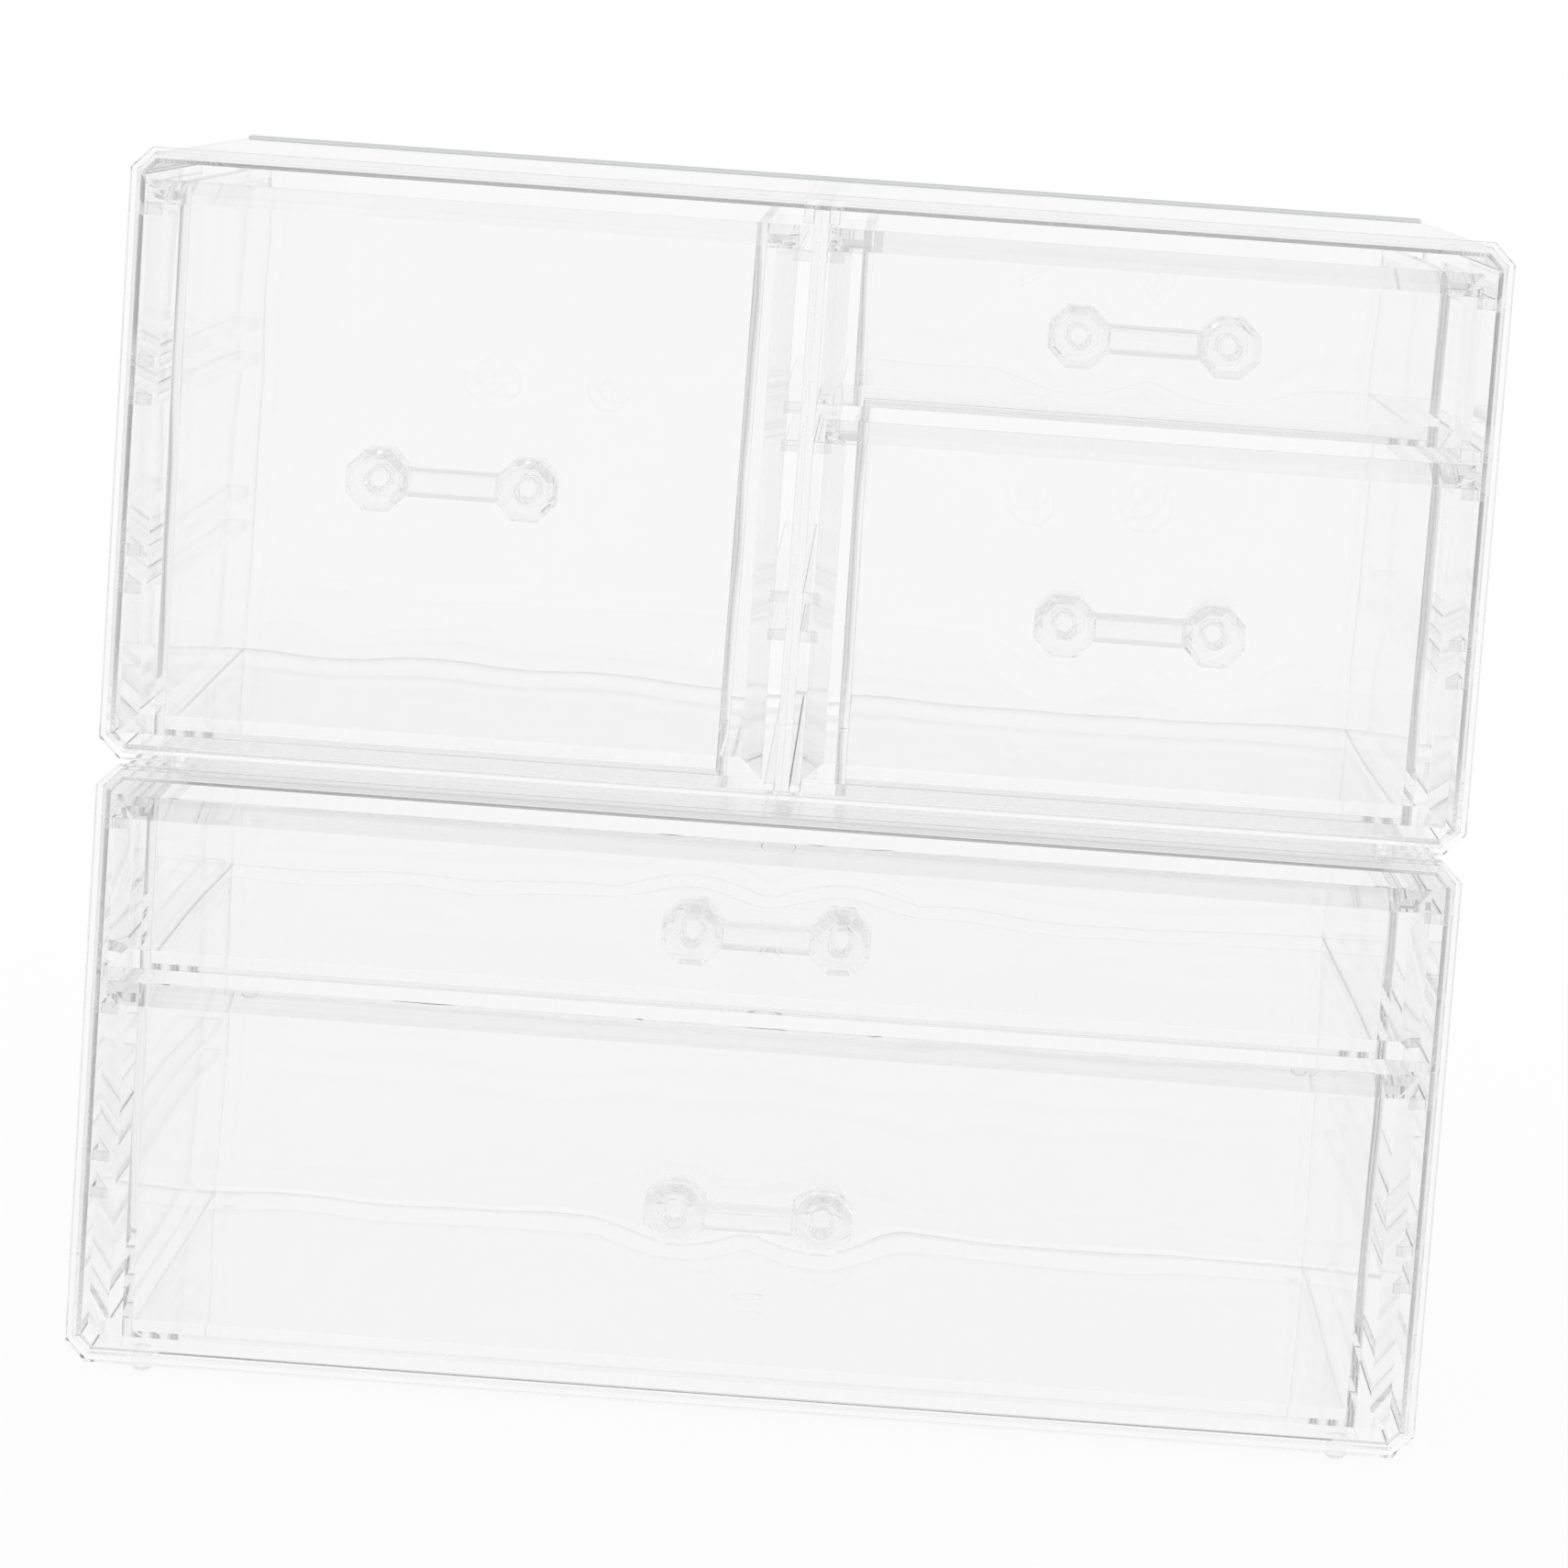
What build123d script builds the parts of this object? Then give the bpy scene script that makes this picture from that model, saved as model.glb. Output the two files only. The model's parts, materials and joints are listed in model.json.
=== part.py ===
from build123d import *

import os
from math import sqrt

# Clear cosmetic organizer: two stacked cases, five drawers that hang on rails.
# Millimetres. The front faces -Y, the feet stand on Z = 0.

# Case shell
FLANGE_WIDTH = 300.0  # outside of the front flange, side to side
FLANGE_HEIGHT = 133.8
FLANGE_DEPTH = 4.0  # front to back
FLANGE_OVERHANG = 1.2  # how far the flange stands proud of the body
CORNER_CUT = 4.6  # leg of the cut-off corners, on the flange
CASE_DEPTH = 190.0
WALL = 2.1
MOUTH_CHAMFER = 0.9  # around the inside of the mouth
REAR_RIM_DEPTH = 3.0  # front to back
REAR_RIM_OVERHANG = 0.6  # how far the rim around the back stands proud of the body

# Drawer levels
LEVELS = 3
FRONT_GAP = 3.3  # between drawer fronts, one above the other
FLOOR_GAP = 2.2  # lowest drawer to the case floor
ROOF_GAP = 3.8  # highest drawer to the case roof

# Rails on the case walls and on the divider, and the drawer lips that ride on them
SIDE_CLEARANCE = 1.7  # drawer front to the wall of its bay
RAIL_THICKNESS = 2.4
RAIL_DROP = 5.3  # top of a drawer front down to the face its lip rides on
GROOVE = 6.0  # that face up to the guard rail above it
LIP_OVERLAP = 2.8  # lip on its rail, with the drawer in the middle of its bay
LIP_THICKNESS = 2.2
LIP_CLEARANCE = 0.2  # lip above its rail

# Feet and stacking
FOOT_DIAMETER = 4.4
FOOT_CHAMFER = 0.6
FOOT_INSET = 16.5  # foot axis from the side of the flange
FRONT_FOOT_GAP = 1.5  # front foot to the back of the flange
REAR_FOOT_SETBACK = 10.0  # rear foot axis from the back of the case
STACK_GAP = 1.4  # between the flanges of the two stacked cases

# Divider of the upper case, and the rib pairs that hold it at the floor and the roof
DIVIDER_THICKNESS = 3.3
DIVIDER_SETBACK = 1.0  # front edge behind the flange face
DIVIDER_PLAY = 0.1
DIVIDER_RIB_SETBACK = 2.5  # front ends of the ribs behind the flange face
DIVIDER_RIB_THICKNESS = 2.15
DIVIDER_RIB_CLEARANCE = 0.7  # ribs to the drawers above and below them

# Drawers
FRONT_RECESS = 1.0  # drawer front behind the flange face
FRONT_EDGE = 1.8  # thickness of the front behind its bevel
BEVEL_WIDTH = 4.7
BEVEL_DEPTH = 2.7
STOP_GAP = 0.3  # back of the front to the rail ends that stop it
REAR_GAP = 19.0  # behind the tub
TUB_CLEARANCE = 4.2  # tub wall to the tips of the rails
TUB_WALL = 2.2
TUB_FLOOR = 1.8
TUB_DRAFT = 0.4  # degrees
TUB_CORNER = 3.0  # rounding of the rear corners
GATE_DIAMETER = 8.0  # round mark under the tub floor
GATE_DEPTH = 0.4

# Handles and the pins that hold them
KNOB_SIDES = 8
KNOB_SPACING = 32.3
KNOB_FLATS = 13.2  # across flats
KNOB_REACH = 15.0  # knob face in front of the drawer front
KNOB_BEVEL_WIDTH = 1.75
KNOB_BEVEL_DEPTH = 1.0
KNOB_SEAT_GAP = 0.05  # knobs off the drawer front
RECESS_DIAMETER = 5.2  # in the knob face
RECESS_BOTTOM_DIAMETER = 3.6
RECESS_DEPTH = 8.6
FINGER_GAP = 7.0  # behind the bar
BAR_HEIGHT = 6.5
BAR_THICKNESS = 4.0
BAR_BEVEL_WIDTH = 1.5
BAR_BEVEL_DEPTH = 0.7
PIN_FLATS = 4.6  # across flats
PIN_DEPTH = 4.5  # in the knob
PIN_CLEARANCE = 0.05  # around the pin, at its tip and under its head
PIN_HEAD_FLATS = 8.0
PIN_HEAD_THICKNESS = 1.4

# Widths
shell = FLANGE_OVERHANG + WALL
inner_width = FLANGE_WIDTH - 2 * shell
half_bay = (inner_width - DIVIDER_THICKNESS) / 2
rail_reach = SIDE_CLEARANCE + LIP_OVERLAP
lip_reach = LIP_OVERLAP + TUB_CLEARANCE

# Heights
inner_height = FLANGE_HEIGHT - 2 * shell
level_pitch = (inner_height - FLOOR_GAP - ROOF_GAP + FRONT_GAP) / LEVELS
front_height = level_pitch - FRONT_GAP
foot_length = 2 * FLANGE_OVERHANG + STACK_GAP
lower_base = foot_length - FLANGE_OVERHANG
upper_base = lower_base + FLANGE_HEIGHT + STACK_GAP

# Depths, with the origin midway between the knob faces and the back of the cases
flange_y = (KNOB_REACH - FRONT_RECESS - CASE_DEPTH) / 2
front_y = flange_y + FRONT_RECESS
tub_y = front_y + BEVEL_DEPTH + FRONT_EDGE
rail_y = tub_y + STOP_GAP
back_y = flange_y + CASE_DEPTH
inner_back_y = back_y - WALL
tub_back_y = inner_back_y - REAR_GAP
knob_y = front_y - KNOB_REACH
knob_seat_y = front_y - KNOB_SEAT_GAP
pin_tip_y = front_y - PIN_DEPTH
pin_head_y = tub_y + PIN_CLEARANCE
pin_bore_flats = PIN_FLATS + 2 * PIN_CLEARANCE

# The leg of a cut corner shrinks by this share of the outline's inset
CUT_SHRINK = 2 - sqrt(2)

# Bays of the cases: middle and width
BAYS = {
    "whole": (0, inner_width),
    "left": (-(DIVIDER_THICKNESS + half_bay) / 2, half_bay),
    "right": ((DIVIDER_THICKNESS + half_bay) / 2, half_bay),
}

# Each drawer: base of its case, bay, top level, levels taken, and where it has settled in
# its side clearance, from -1 (against the left wall) to 1 (against the right wall)
DRAWERS = {
    "wide_shallow": (lower_base, "whole", LEVELS, 1, -0.5),
    "wide_deep": (lower_base, "whole", LEVELS - 1, LEVELS - 1, -0.3),
    "tall": (upper_base, "left", LEVELS, LEVELS, -0.75),
    "small_shallow": (upper_base, "right", LEVELS, 1, -0.6),
    "small_deep": (upper_base, "right", LEVELS - 1, LEVELS - 1, 0.4),
}


def front_plane(y):
    """Upright plane at depth y: its x is X, its y is Z and its normal is -Y."""
    return Plane.XZ.offset(-y)


def front_top(base, level):
    """Height of the top edge of a drawer front whose top level is given."""
    return base + shell + FLOOR_GAP + level * level_pitch - FRONT_GAP


def rail_spots(base, x, y):
    """Centres of the rails on one wall: a bearing rail a level, guard rails between."""
    bearings = [front_top(base, level) - RAIL_DROP for level in range(1, LEVELS + 1)]
    guards = [bearing + GROOVE + RAIL_THICKNESS for bearing in bearings[:-1]]
    return [(x, y, top - RAIL_THICKNESS / 2) for top in bearings + guards]


def knob_spots(x, middle):
    """Axes of the two knobs of a handle, on an upright plane."""
    return [(x - KNOB_SPACING / 2, middle), (x + KNOB_SPACING / 2, middle)]


def case_outline(y, base, inset):
    """Rectangle with cut corners at depth y, inset from the flange's outline."""
    with BuildSketch(front_plane(y)) as section:
        with Locations((0, base + FLANGE_HEIGHT / 2)):
            Rectangle(FLANGE_WIDTH - 2 * inset, FLANGE_HEIGHT - 2 * inset)
        chamfer(section.vertices(), CORNER_CUT - inset * CUT_SHRINK)
    return section.sketch


def tub_section(x, top, width, height):
    """Upright section of a tub behind its drawer front, narrower at the bottom."""
    with BuildSketch(front_plane(tub_y)) as section:
        with Locations((x, top - height / 2)):
            Trapezoid(width, height, 90 - TUB_DRAFT, rotation=180)
    return section.sketch


def octagon(y, spot, flats):
    """Octagon of a knob or a pin, which stands on a flat, at depth y."""
    with BuildSketch(front_plane(y)) as section:
        with Locations(spot):
            RegularPolygon(flats / 2, KNOB_SIDES, major_radius=False, rotation=180 / KNOB_SIDES)
    return section.sketch


def recess_outline(y, spot, diameter):
    """Circle of a knob's recess, at depth y."""
    with BuildSketch(front_plane(y)) as section:
        with Locations(spot):
            Circle(diameter / 2)
    return section.sketch


def make_case(base, divided):
    """Open-fronted shell with its front flange, rear rim and the rails on its side walls."""
    floor = base + shell
    roof = floor + inner_height
    rail_length = inner_back_y - rail_y
    rail_x = (inner_width - rail_reach) / 2
    with BuildPart() as case:
        extrude(case_outline(flange_y, base, 0), amount=-FLANGE_DEPTH)
        extrude(case_outline(flange_y, base, FLANGE_OVERHANG), amount=-CASE_DEPTH)
        extrude(case_outline(back_y, base, FLANGE_OVERHANG - REAR_RIM_OVERHANG), amount=REAR_RIM_DEPTH)
        extrude(case_outline(flange_y, base, shell), amount=WALL - CASE_DEPTH, mode=Mode.SUBTRACT)
        mouth = case.faces().sort_by(Axis.Y)[0]
        chamfer(mouth.inner_wires()[0].edges(), MOUTH_CHAMFER)
        for x in (-rail_x, rail_x):
            with Locations(*rail_spots(base, x, rail_y + rail_length / 2)):
                Box(rail_reach, rail_length, RAIL_THICKNESS)
        if divided:
            floor_rib = FLOOR_GAP - DIVIDER_RIB_CLEARANCE
            roof_rib = ROOF_GAP - DIVIDER_RIB_CLEARANCE
            rib_x = DIVIDER_THICKNESS / 2 + DIVIDER_PLAY + DIVIDER_RIB_THICKNESS / 2
            rib_length = inner_back_y - flange_y - DIVIDER_RIB_SETBACK
            rib_y = inner_back_y - rib_length / 2
            with Locations((-rib_x, rib_y, floor + floor_rib / 2), (rib_x, rib_y, floor + floor_rib / 2)):
                Box(DIVIDER_RIB_THICKNESS, rib_length, floor_rib)
            with Locations((-rib_x, rib_y, roof - roof_rib / 2), (rib_x, rib_y, roof - roof_rib / 2)):
                Box(DIVIDER_RIB_THICKNESS, rib_length, roof_rib)
    return case.part


def make_feet(base):
    """Four round feet on the underside of a case."""
    foot_x = FLANGE_WIDTH / 2 - FOOT_INSET
    foot_front = flange_y + FLANGE_DEPTH + FRONT_FOOT_GAP + FOOT_DIAMETER / 2
    foot_rear = back_y - REAR_FOOT_SETBACK
    with BuildPart() as feet:
        with BuildSketch(Plane.XY.offset(base + FLANGE_OVERHANG)):
            with Locations(*[(x, y) for x in (-foot_x, foot_x) for y in (foot_front, foot_rear)]):
                Circle(FOOT_DIAMETER / 2)
        extrude(amount=-foot_length)
        chamfer(feet.edges().group_by(Axis.Z)[0], FOOT_CHAMFER)
    return feet.part


def make_divider(base):
    """Upright panel with rails on both faces, held between the rib pairs of its case."""
    end_y = inner_back_y - DIVIDER_PLAY
    length = end_y - flange_y - DIVIDER_SETBACK
    rail_length = end_y - rail_y
    rail_x = (DIVIDER_THICKNESS + rail_reach) / 2
    with BuildPart() as divider:
        with Locations((0, end_y - length / 2, base + shell + inner_height / 2)):
            Box(DIVIDER_THICKNESS, length, inner_height - 2 * DIVIDER_PLAY)
        for x in (-rail_x, rail_x):
            with Locations(*rail_spots(base, x, end_y - rail_length / 2)):
                Box(rail_reach, rail_length, RAIL_THICKNESS)
    return divider.part


def make_drawer(x, width, top, height):
    """One-piece drawer: bevelled front, drafted tub, a running lip on both sides."""
    middle = top - height / 2
    tub_width = width - 2 * lip_reach
    tub_length = tub_back_y - tub_y
    hollow = tub_section(x, top, tub_width - 2 * TUB_WALL, height - TUB_FLOOR)
    lip_length = tub_length - TUB_CORNER
    lip_z = top - RAIL_DROP + LIP_CLEARANCE + LIP_THICKNESS / 2
    with BuildPart() as drawer:
        with BuildSketch(front_plane(tub_y)):
            with Locations((x, middle)):
                Rectangle(width, height)
        extrude(amount=tub_y - front_y)
        front = drawer.faces().sort_by(Axis.Y)[0]
        chamfer(front.edges(), length=BEVEL_WIDTH, length2=BEVEL_DEPTH, reference=front)
        extrude(tub_section(x, top, tub_width, height), amount=-tub_length)
        upright_edges = drawer.edges().filter_by(lambda edge: edge.bounding_box().size.Z > height / 2)
        fillet(upright_edges.sort_by(Axis.Y)[-2:], TUB_CORNER)
        with Locations((x, tub_y + lip_length / 2, lip_z)):
            Box(width, lip_length, LIP_THICKNESS)
        extrude(hollow, amount=TUB_WALL - tub_length, mode=Mode.SUBTRACT)
        for spot in knob_spots(x, middle):
            extrude(octagon(tub_y, spot, pin_bore_flats), amount=tub_y - front_y, mode=Mode.SUBTRACT)
        with BuildSketch(Plane.XY.offset(top - height)):
            with Locations((x, (tub_y + tub_back_y) / 2)):
                Circle(GATE_DIAMETER / 2)
        extrude(amount=GATE_DEPTH, mode=Mode.SUBTRACT)
    return drawer.part


def make_handle(x, middle):
    """Bar between two bevelled octagonal knobs, each with a recess in its face and a pin bore."""
    bar_y = front_y - FINGER_GAP - BAR_THICKNESS / 2
    bore_depth = knob_seat_y - pin_tip_y + PIN_CLEARANCE
    with BuildPart() as handle:
        for spot in knob_spots(x, middle):
            extrude(octagon(knob_seat_y, spot, KNOB_FLATS), amount=knob_seat_y - knob_y)
            face = handle.faces(Select.LAST).sort_by(Axis.Y)[0]
            chamfer(face.edges(), length=KNOB_BEVEL_WIDTH, length2=KNOB_BEVEL_DEPTH, reference=face)
        with BuildSketch(Plane.YZ.offset(x)):
            with Locations((bar_y, middle)):
                Rectangle(BAR_THICKNESS, BAR_HEIGHT - 2 * BAR_BEVEL_WIDTH)
                Rectangle(BAR_THICKNESS - 2 * BAR_BEVEL_DEPTH, BAR_HEIGHT)
            make_hull()
        extrude(amount=KNOB_SPACING / 2, both=True)
        for spot in knob_spots(x, middle):
            loft([
                recess_outline(knob_y, spot, RECESS_DIAMETER),
                recess_outline(knob_y + RECESS_DEPTH, spot, RECESS_BOTTOM_DIAMETER),
            ], mode=Mode.SUBTRACT)
            extrude(octagon(knob_seat_y, spot, pin_bore_flats), amount=bore_depth, mode=Mode.SUBTRACT)
    return handle.part


def make_pins(x, middle):
    """Two headed pins, pushed from inside the drawer through its front into the knobs."""
    with BuildPart() as pins:
        for spot in knob_spots(x, middle):
            extrude(octagon(pin_head_y, spot, PIN_FLATS), amount=pin_head_y - pin_tip_y)
            extrude(octagon(pin_head_y, spot, PIN_HEAD_FLATS), amount=-PIN_HEAD_THICKNESS)
    return pins.part


def save(piece, name):
    piece.label = name
    export_step(piece, f"parts/{name}.step")


os.makedirs("parts", exist_ok=True)

save(make_case(lower_base, divided=False), "lower_case")
save(make_feet(lower_base), "lower_feet")
save(make_case(upper_base, divided=True), "upper_case")
save(make_feet(upper_base), "upper_feet")
save(make_divider(upper_base), "upper_divider")

for name, (base, bay, top_level, levels, settled) in DRAWERS.items():
    bay_middle, bay_width = BAYS[bay]
    x = bay_middle + settled * SIDE_CLEARANCE
    width = bay_width - 2 * SIDE_CLEARANCE
    top = front_top(base, top_level)
    height = front_height + (levels - 1) * level_pitch
    middle = top - height / 2
    save(make_drawer(x, width, top, height), f"{name}_drawer")
    save(make_handle(x, middle), f"{name}_handle")
    save(make_pins(x, middle), f"{name}_handle_pins")
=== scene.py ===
import json
from collections import namedtuple
from math import radians

import bpy
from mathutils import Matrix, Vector


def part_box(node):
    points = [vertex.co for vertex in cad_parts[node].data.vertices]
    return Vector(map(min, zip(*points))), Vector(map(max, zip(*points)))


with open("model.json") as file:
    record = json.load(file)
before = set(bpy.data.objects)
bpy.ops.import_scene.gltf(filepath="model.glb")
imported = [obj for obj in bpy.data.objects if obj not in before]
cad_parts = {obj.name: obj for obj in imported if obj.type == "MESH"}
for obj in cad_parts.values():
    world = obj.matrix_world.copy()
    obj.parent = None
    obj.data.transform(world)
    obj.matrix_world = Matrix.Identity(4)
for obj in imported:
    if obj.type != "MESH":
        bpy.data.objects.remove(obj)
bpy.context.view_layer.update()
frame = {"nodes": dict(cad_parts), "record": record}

# Camera, from the photograph's perspective
CAMERA_PLACE = (0.01608, -1.35434, 0.30626)
CAMERA_TURN = (82.635, -4.043, 1.227)  # degrees
CAMERA_LENS = 134.04  # millimetres, as is the sensor
CAMERA_SENSOR = 36.0

# Clear plastic: its surface keeps back a little light at every crossing and every reflection, so that
# light led along a wall for long comes out grey
PLASTIC_IOR = 1.5
ABSORPTION_COLOR = (0.5, 0.5, 0.5, 1.0)

# Finish of each material slot: share of light that the surface passes on where it is clean and where it
# is hazy, absorption density per metre, edge rounding in metres and greatest roughness
Finish = namedtuple("Finish", "clean hazy density rounding roughness")
FINISHES = {
    "clear_case": Finish(0.986, 0.981, 0.2, 0.0001, 0.01),
    "clear_divider": Finish(0.99, 0.985, 0.2, 0.0001, 0.01),
    "clear_drawer": Finish(0.993, 0.989, 0.2, 0.0001, 0.01),
    "clear_handle": Finish(0.991, 0.986, 0.2, 0.00012, 0.01),
    "clear_pin": Finish(0.994, 0.99, 0.2, 0.0001, 0.02),
    "clear_foot": Finish(0.985, 0.975, 0.5, 0.00012, 0.1),
}
HAZE_SCALE = 35.0  # patches in a metre
HAZE_DETAIL = 2.0  # layers of noise
HAZE_START = 0.45  # noise levels between which the surface grows rough
HAZE_FULL = 0.75

# Moulded edges
ROUNDING_STEPS = 2
ROUNDED_ANGLE = 25.0  # degrees, the least turn that counts as an edge
WELD_DISTANCE = 0.000001  # metres
FLAT_ANGLE = 0.5  # degrees, the greatest turn within one flat face
SHARP_ANGLE = 18.0  # degrees, the greatest turn that shades smooth
FLAT_AREA = 0.00015  # square metres, above which a face is a flat one

# Rear rim of the cases: painted shade, grey put into the plastic's colour there for the grey bar that
# shows along it
FLANGE_OVERHANG = 0.0012  # metres
RIM_DEPTH = 0.0032  # metres
# painted shade colour of the rear rim
RIM_PAINTED_SHADE_COLOR = (0.8, 0.81, 0.81, 1.0)

# Panels of the cases, the same plastic tinted apart: painted light in a floor panel, which loses less
# light on its way to the front than a wall, and painted shade in a roof panel, which loses more
PANEL_DEPTH = 0.0045  # metres
FLOOR_PANEL_PAINTED_LIGHT = (0.998, 0.998, 0.998, 1.0)
ROOF_PANEL_PAINTED_SHADE = (0.974, 0.974, 0.974, 1.0)

# Feet are drawn in by this, in metres, so that they don't share faces with what they touch
FOOT_SHRINK = 0.00003

# Moulding waves of the drawers' front faces, in metres
WAVE_SCALE = 25.0  # waves in a metre
WAVE_DETAIL = 1.0  # layers of noise
WAVE_HEIGHT = 0.0008
BULGE_HEIGHT = 0.0008
BULGE_REACH = 0.019
FACE_DEPTH = 0.002  # behind a drawer's foremost point
FACING_START = 0.95  # cosines of the angle from the front, between which the waves set in
FACING_FULL = 0.99
BUMP_UNIT = 1.0  # one metre, so that the heights above are in metres

# Floor, with distances in metres: FLOOR_LIFT is the share of white backdrop in it near the object, and
# FLOOR_LIFT_THROUGH the share where it shows in the plastic
FLOOR_SIZE = 3.0
FLOOR_COLOR = (0.85, 0.85, 0.85, 1.0)
FLOOR_FADE_START = 0.4
FLOOR_FADE_END = 1.2
FLOOR_LIFT = 0.95
FLOOR_LIFT_THROUGH = 0.94

# White sweep behind and in front of the object, which dims upwards and to the sides between these
# sines of the angles from its axis
SWEEP_RISE_START = 0.2
SWEEP_RISE_END = 0.4
SWEEP_SIDE_START = 0.3
SWEEP_SIDE_END = 0.45

# Light: strengths of the world, where 1 is white, and one soft lamp
CEILING_LIGHT = 0.85
SIDE_LIGHT = 0.85
FILL_LIGHT = 0.85
WHITE = (1.0, 1.0, 1.0, 1.0)
SOFTBOX_PLACE = (-0.9, -0.8, 1.5)
SOFTBOX_SIZE = 1.2  # metres
SOFTBOX_POWER = 2.0  # watts
LIGHT_BOUNCES = 128  # light led along a wall is thrown back and forth many times


class Nodes:
    """Short ways to add and join shader nodes."""

    def __init__(self, tree):
        self.tree = tree
        tree.nodes.clear()

    def add(self, kind, **settings):
        node = self.tree.nodes.new(kind)
        for name, value in settings.items():
            setattr(node, name, value)
        return node

    def join(self, output, socket):
        self.tree.links.new(output, socket)

    def object_place(self):
        return self.add("ShaderNodeTexCoord").outputs["Object"]

    def split(self, vector):
        node = self.add("ShaderNodeSeparateXYZ")
        self.join(vector, node.inputs["Vector"])
        return node.outputs["X"], node.outputs["Y"], node.outputs["Z"]

    def math(self, operation, *values):
        node = self.add("ShaderNodeMath", operation=operation)
        for socket, value in zip(node.inputs, values):
            if isinstance(value, (int, float)):
                socket.default_value = value
            else:
                self.join(value, socket)
        return node.outputs[0]

    def spread(self, value, low, high, to_low, to_high):
        """Smooth step from one value to another between two levels."""
        node = self.add("ShaderNodeMapRange", interpolation_type="SMOOTHSTEP")
        self.join(value, node.inputs["Value"])
        node.inputs["From Min"].default_value = low
        node.inputs["From Max"].default_value = high
        node.inputs["To Min"].default_value = to_low
        node.inputs["To Max"].default_value = to_high
        return node.outputs["Result"]

    def noise(self, place, scale, detail):
        node = self.add("ShaderNodeTexNoise")
        self.join(place, node.inputs["Vector"])
        node.inputs["Scale"].default_value = scale
        node.inputs["Detail"].default_value = detail
        return node.outputs["Fac"]


def new_material(name):
    material = bpy.data.materials.new(name)
    material.use_nodes = True
    return material, Nodes(material.node_tree)


def clear_plastic(name, finish):
    """Polished clear moulding whose edges grey where light is led along it, with faint handling haze."""
    material, nodes = new_material(name)
    surface = nodes.add("ShaderNodeBsdfGlass")
    surface.inputs["IOR"].default_value = PLASTIC_IOR
    haze = nodes.noise(nodes.object_place(), HAZE_SCALE, HAZE_DETAIL)
    roughness = nodes.spread(haze, HAZE_START, HAZE_FULL, 0.0, finish.roughness)
    nodes.join(roughness, surface.inputs["Roughness"])
    tint = nodes.add("ShaderNodeMix", data_type="RGBA")
    nodes.join(haze, tint.inputs["Factor"])
    tint.inputs["A"].default_value = (finish.clean, finish.clean, finish.clean, 1.0)
    tint.inputs["B"].default_value = (finish.hazy, finish.hazy, finish.hazy, 1.0)
    nodes.join(tint.outputs["Result"], surface.inputs["Color"])
    volume = nodes.add("ShaderNodeVolumeAbsorption")
    volume.inputs["Color"].default_value = ABSORPTION_COLOR
    volume.inputs["Density"].default_value = finish.density
    output = nodes.add("ShaderNodeOutputMaterial")
    nodes.join(surface.outputs["BSDF"], output.inputs["Surface"])
    nodes.join(volume.outputs["Volume"], output.inputs["Volume"])
    return material, nodes, surface


def knob_centers(handle):
    """Middles of a handle's two knobs: each knob is as wide as the handle is high."""
    low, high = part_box(handle)
    half_knob = (high[2] - low[2]) / 2
    middle_z = (low[2] + high[2]) / 2
    return [(low[0] + half_knob, middle_z), (high[0] - half_knob, middle_z)]


def add_color(nodes, surface, mask, color):
    """Blend a colour into the surface where the mask is 1."""
    mix = nodes.add("ShaderNodeMix", data_type="RGBA")
    nodes.join(mask, mix.inputs["Factor"])
    nodes.join(surface.inputs["Color"].links[0].from_socket, mix.inputs["A"])
    mix.inputs["B"].default_value = color
    nodes.join(mix.outputs["Result"], surface.inputs["Color"])


def paint_rim_shade(nodes, surface, low, high):
    """Painted shade: grey put into the colour of the rim around the back of a case, which stands proud
    of the body.
    """
    x, y, z = nodes.split(nodes.object_place())
    middle_z = (low[2] + high[2]) / 2
    half_height = (high[2] - low[2]) / 2
    behind = nodes.math("GREATER_THAN", y, high[1] - RIM_DEPTH)
    aside = nodes.math("GREATER_THAN", nodes.math("ABSOLUTE", x), high[0] - FLANGE_OVERHANG)
    from_middle = nodes.math("ABSOLUTE", nodes.math("SUBTRACT", z, middle_z))
    above_or_below = nodes.math("GREATER_THAN", from_middle, half_height - FLANGE_OVERHANG)
    # painted shade: where the grey goes into the rim's colour
    painted_shade_rim = nodes.math("MULTIPLY", behind, nodes.math("MAXIMUM", aside, above_or_below))
    add_color(nodes, surface, painted_shade_rim, RIM_PAINTED_SHADE_COLOR)


def paint_panel_light_and_shade(nodes, surface, bottom, top):
    """Painted light in the floor panel of a case, a tint that lets more through, and painted shade in
    its roof panel, a tint that lets less through.
    """
    z = nodes.split(nodes.object_place())[2]
    # painted light in the floor panel
    add_color(nodes, surface, nodes.math("LESS_THAN", z, bottom + PANEL_DEPTH), FLOOR_PANEL_PAINTED_LIGHT)
    # painted shade in the roof panel
    add_color(nodes, surface, nodes.math("GREATER_THAN", z, top - PANEL_DEPTH), ROOF_PANEL_PAINTED_SHADE)


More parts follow.
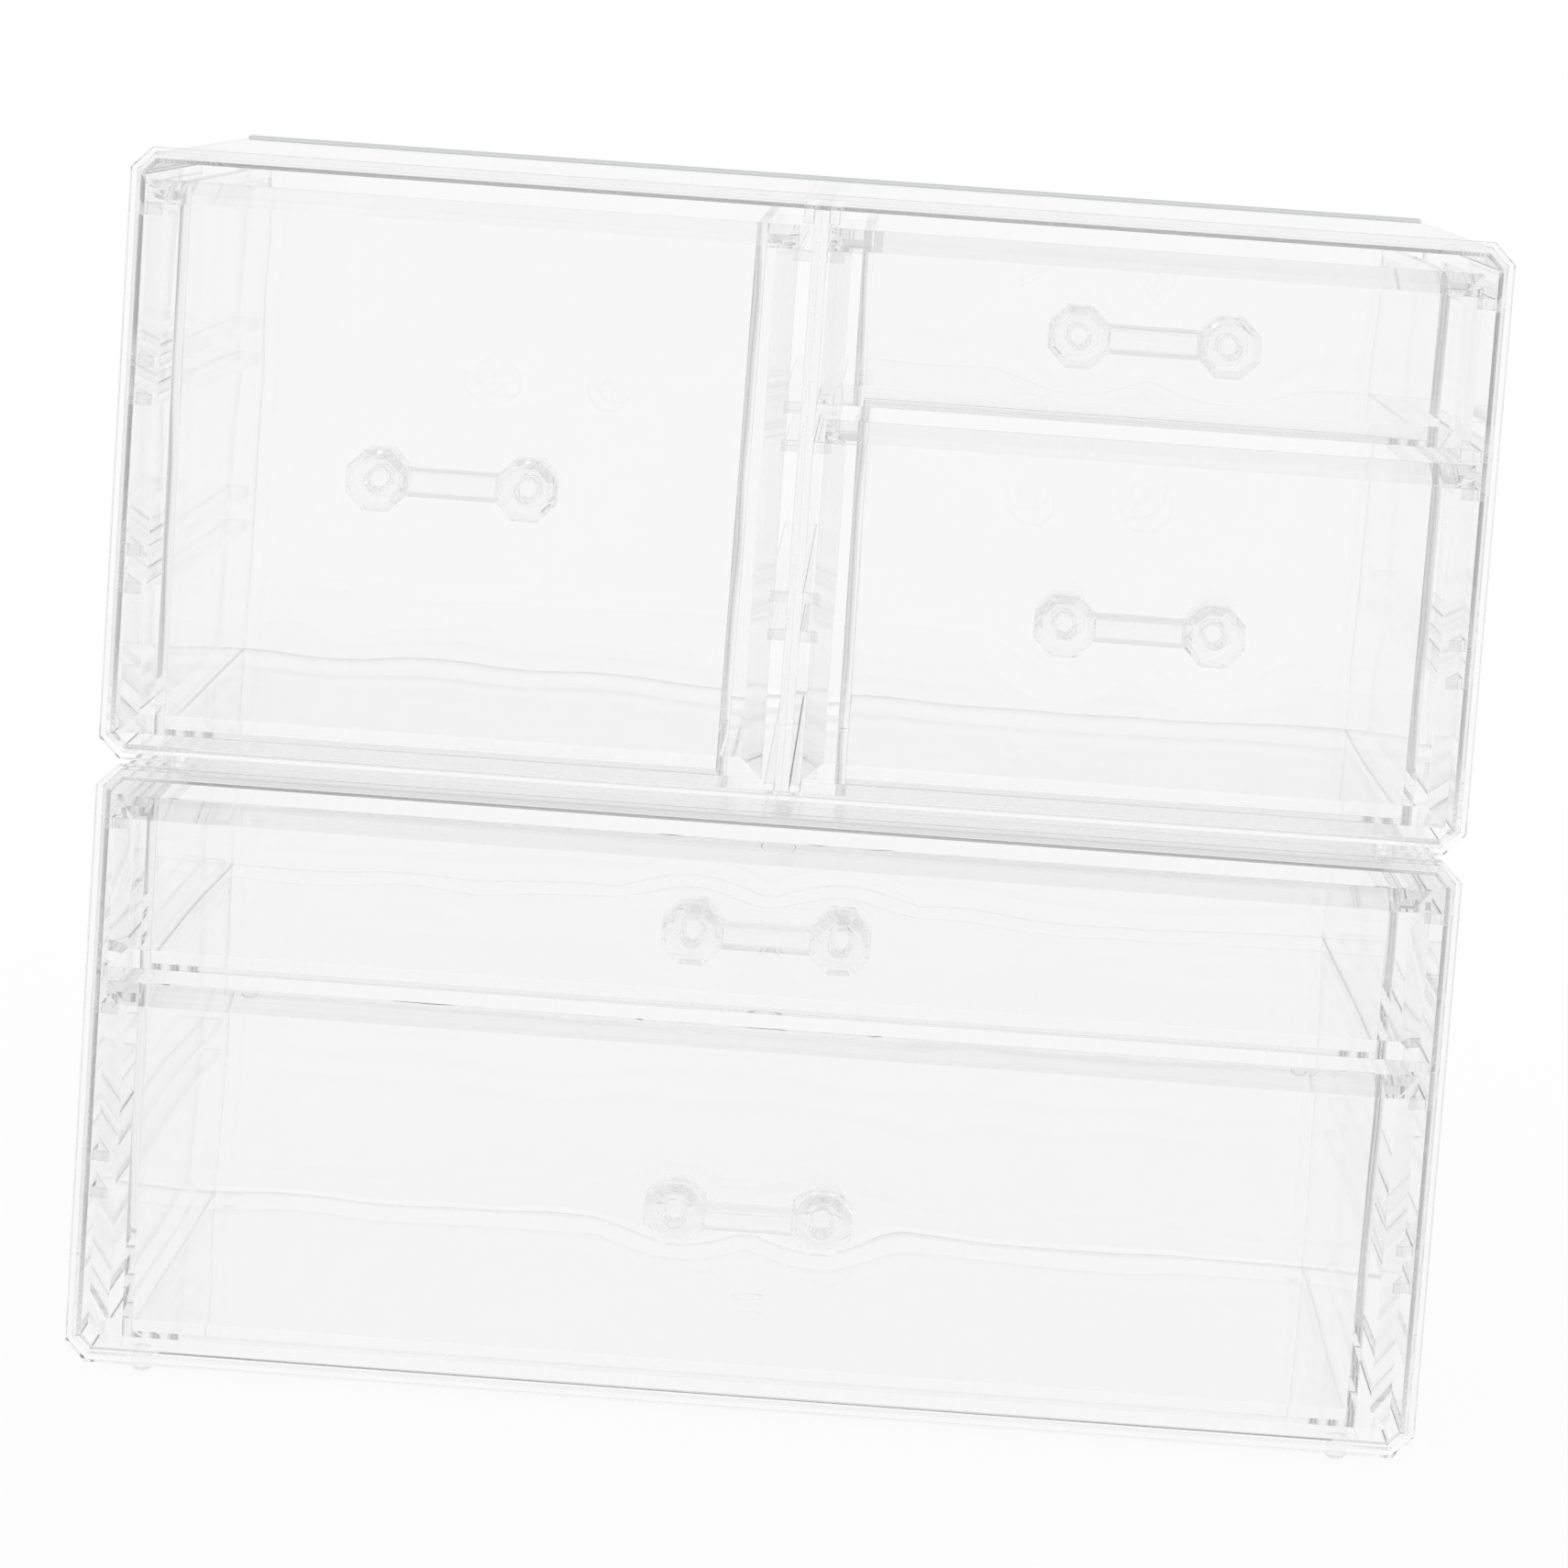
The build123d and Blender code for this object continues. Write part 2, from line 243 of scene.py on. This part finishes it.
def wave_front(nodes, surface, front_y, knobs):
    """Moulding waves in a drawer's front face, which bulges round the knobs."""
    place = nodes.object_place()
    x, y, z = nodes.split(place)
    height = nodes.math("MULTIPLY", nodes.noise(place, WAVE_SCALE, WAVE_DETAIL), WAVE_HEIGHT)
    for knob_x, knob_z in knobs:
        across = nodes.math("SUBTRACT", x, knob_x)
        up = nodes.math("SUBTRACT", z, knob_z)
        squares = [nodes.math("MULTIPLY", side, side) for side in (across, up)]
        reach = nodes.math("SQRT", nodes.math("ADD", *squares))
        height = nodes.math("ADD", height, nodes.spread(reach, 0.0, BULGE_REACH, BULGE_HEIGHT, 0.0))
    normal = nodes.add("ShaderNodeNewGeometry").outputs["True Normal"]
    facing = nodes.math("ABSOLUTE", nodes.split(normal)[1])
    upright = nodes.spread(facing, FACING_START, FACING_FULL, 0.0, 1.0)
    face = nodes.math("LESS_THAN", y, front_y + FACE_DEPTH)
    bump = nodes.add("ShaderNodeBump")
    bump.inputs["Distance"].default_value = BUMP_UNIT
    nodes.join(nodes.math("MULTIPLY", upright, face), bump.inputs["Strength"])
    nodes.join(height, bump.inputs["Height"])
    nodes.join(bump.outputs["Normal"], surface.inputs["Normal"])


def floor_material():
    """Pale floor that takes the object's shadow and passes into the white backdrop."""
    material, nodes = new_material("floor_paint")
    away = nodes.add("ShaderNodeVectorMath", operation="LENGTH")
    nodes.join(nodes.object_place(), away.inputs[0])
    paint = nodes.add("ShaderNodeBsdfDiffuse")
    paint.inputs["Color"].default_value = FLOOR_COLOR
    glow = nodes.add("ShaderNodeEmission")
    glow.inputs["Color"].default_value = WHITE
    mix = nodes.add("ShaderNodeMixShader")
    rays = nodes.add("ShaderNodeLightPath").outputs
    through = nodes.math("MAXIMUM", rays["Is Glossy Ray"], rays["Is Transmission Ray"])
    fade = nodes.spread(away.outputs["Value"], FLOOR_FADE_START, FLOOR_FADE_END, FLOOR_LIFT, 1.0)
    lift = nodes.math("MAXIMUM", nodes.math("MULTIPLY", rays["Is Camera Ray"], fade),
                      nodes.math("MULTIPLY", through, FLOOR_LIFT_THROUGH))
    nodes.join(lift, mix.inputs["Fac"])
    nodes.join(paint.outputs["BSDF"], mix.inputs[1])
    nodes.join(glow.outputs["Emission"], mix.inputs[2])
    output = nodes.add("ShaderNodeOutputMaterial")
    nodes.join(mix.outputs["Shader"], output.inputs["Surface"])
    return material


def make_floor():
    bpy.ops.mesh.primitive_plane_add(size=FLOOR_SIZE)
    floor = bpy.context.object
    floor.name = "floor"
    floor.data.materials.append(floor_material())


def make_world():
    """White backdrop for the camera, the sweep for gloss and glass, and a plain light for the rest."""
    world = bpy.data.worlds.new("studio")
    bpy.context.scene.world = world
    world.use_nodes = True
    nodes = Nodes(world.node_tree)
    rays = nodes.add("ShaderNodeLightPath").outputs
    seen = nodes.math("MAXIMUM", rays["Is Glossy Ray"], rays["Is Transmission Ray"])
    x, _, z = nodes.split(nodes.add("ShaderNodeTexCoord").outputs["Generated"])
    sweep = nodes.add("ShaderNodeBackground")
    ceiling = nodes.spread(z, SWEEP_RISE_START, SWEEP_RISE_END, 1.0, CEILING_LIGHT)
    sides = nodes.spread(nodes.math("ABSOLUTE", x), SWEEP_SIDE_START, SWEEP_SIDE_END, 1.0, SIDE_LIGHT)
    nodes.join(nodes.math("MINIMUM", ceiling, sides), sweep.inputs["Strength"])
    fill = nodes.add("ShaderNodeBackground")
    fill.inputs["Strength"].default_value = FILL_LIGHT
    backdrop = nodes.add("ShaderNodeBackground")
    lit = nodes.add("ShaderNodeMixShader")
    nodes.join(seen, lit.inputs["Fac"])
    nodes.join(fill.outputs[0], lit.inputs[1])
    nodes.join(sweep.outputs[0], lit.inputs[2])
    shown = nodes.add("ShaderNodeMixShader")
    nodes.join(rays["Is Camera Ray"], shown.inputs["Fac"])
    nodes.join(lit.outputs[0], shown.inputs[1])
    nodes.join(backdrop.outputs[0], shown.inputs[2])
    for background in (sweep, fill, backdrop):
        background.inputs["Color"].default_value = WHITE
    output = nodes.add("ShaderNodeOutputWorld")
    nodes.join(shown.outputs[0], output.inputs["Surface"])


def make_softbox():
    """Lamp that faces the object."""
    lamp = bpy.data.lights.new("softbox", "AREA")
    lamp.size = SOFTBOX_SIZE
    lamp.energy = SOFTBOX_POWER
    holder = bpy.data.objects.new("softbox", lamp)
    holder.location = SOFTBOX_PLACE
    holder.rotation_euler = (-Vector(SOFTBOX_PLACE)).to_track_quat("-Z", "Y").to_euler()
    bpy.context.scene.collection.objects.link(holder)


def make_camera():
    camera = bpy.data.cameras.new("camera")
    camera.lens = CAMERA_LENS
    camera.sensor_width = CAMERA_SENSOR
    holder = bpy.data.objects.new("camera", camera)
    holder.location = CAMERA_PLACE
    holder.rotation_euler = [radians(turn) for turn in CAMERA_TURN]
    bpy.context.scene.collection.objects.link(holder)
    bpy.context.scene.camera = holder


def set_render():
    scene = bpy.context.scene
    scene.view_settings.view_transform = "Standard"
    scene.cycles.max_bounces = LIGHT_BOUNCES
    scene.cycles.transmission_bounces = LIGHT_BOUNCES
    scene.cycles.glossy_bounces = LIGHT_BOUNCES
    scene.cycles.transparent_max_bounces = LIGHT_BOUNCES


def make_edge_normals():
    """Geometry nodes that keep flat faces flat and let only curved facets shade smooth."""
    group = bpy.data.node_groups.new("edge_normals", "GeometryNodeTree")
    group.interface.new_socket("Mesh", in_out="INPUT", socket_type="NodeSocketGeometry")
    group.interface.new_socket("Mesh", in_out="OUTPUT", socket_type="NodeSocketGeometry")
    nodes = Nodes(group)
    source = nodes.add("NodeGroupInput")
    target = nodes.add("NodeGroupOutput")
    angle = nodes.add("GeometryNodeInputMeshEdgeAngle").outputs["Unsigned Angle"]
    turn = nodes.math("GREATER_THAN", angle, radians(SHARP_ANGLE))
    area = nodes.add("GeometryNodeInputMeshFaceArea").outputs["Area"]
    flat = nodes.math("GREATER_THAN", area, FLAT_AREA)
    normals = nodes.add("GeometryNodeSetMeshNormal", mode="SHARPNESS")
    normals.inputs["Remove Custom"].default_value = True
    nodes.join(source.outputs[0], normals.inputs["Mesh"])
    nodes.join(nodes.math("MAXIMUM", turn, flat), normals.inputs["Edge Sharpness"])
    nodes.join(normals.outputs["Mesh"], target.inputs[0])
    return group


def draw_in(piece):
    """Draw the faces of a foot in by a hair's breadth."""
    weld = piece.modifiers.new("join", "WELD")
    weld.merge_threshold = WELD_DISTANCE
    shrink = piece.modifiers.new("shrink", "DISPLACE")
    shrink.mid_level = 0.0
    shrink.strength = -FOOT_SHRINK


def round_edges(piece, width, edge_normals):
    """Small moulded radius on every sharp edge."""
    weld = piece.modifiers.new("weld", "WELD")
    weld.merge_threshold = WELD_DISTANCE
    flat = piece.modifiers.new("flat", "DECIMATE")
    flat.decimate_type = "DISSOLVE"
    flat.angle_limit = radians(FLAT_ANGLE)
    bevel = piece.modifiers.new("rounding", "BEVEL")
    bevel.width = width
    bevel.segments = ROUNDING_STEPS
    bevel.limit_method = "ANGLE"
    bevel.angle_limit = radians(ROUNDED_ANGLE)
    normals = piece.modifiers.new("normals", "NODES")
    normals.node_group = edge_normals


edge_normals = make_edge_normals()
for part in frame["record"]["subparts"]:
    piece = frame["nodes"][part["node"]]
    finish = FINISHES[part["material_slot"]]
    material, nodes, surface = clear_plastic(part["node"], finish)
    if part["material_slot"] == "clear_drawer":
        handle = part["node"].replace("_drawer", "_handle")
        wave_front(nodes, surface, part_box(part["node"])[0][1], knob_centers(handle))
    if part["material_slot"] == "clear_case":
        low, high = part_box(part["node"])
        # painted light in the floor panel and painted shade in the roof panel
        paint_panel_light_and_shade(nodes, surface, low[2], high[2])
        # painted shade in the rear rim
        paint_rim_shade(nodes, surface, low, high)
    piece.data.materials.clear()
    piece.data.materials.append(material)
    if part["material_slot"] == "clear_foot":
        draw_in(piece)
    round_edges(piece, finish.rounding, edge_normals)

make_floor()
make_world()
make_softbox()
make_camera()
set_render()
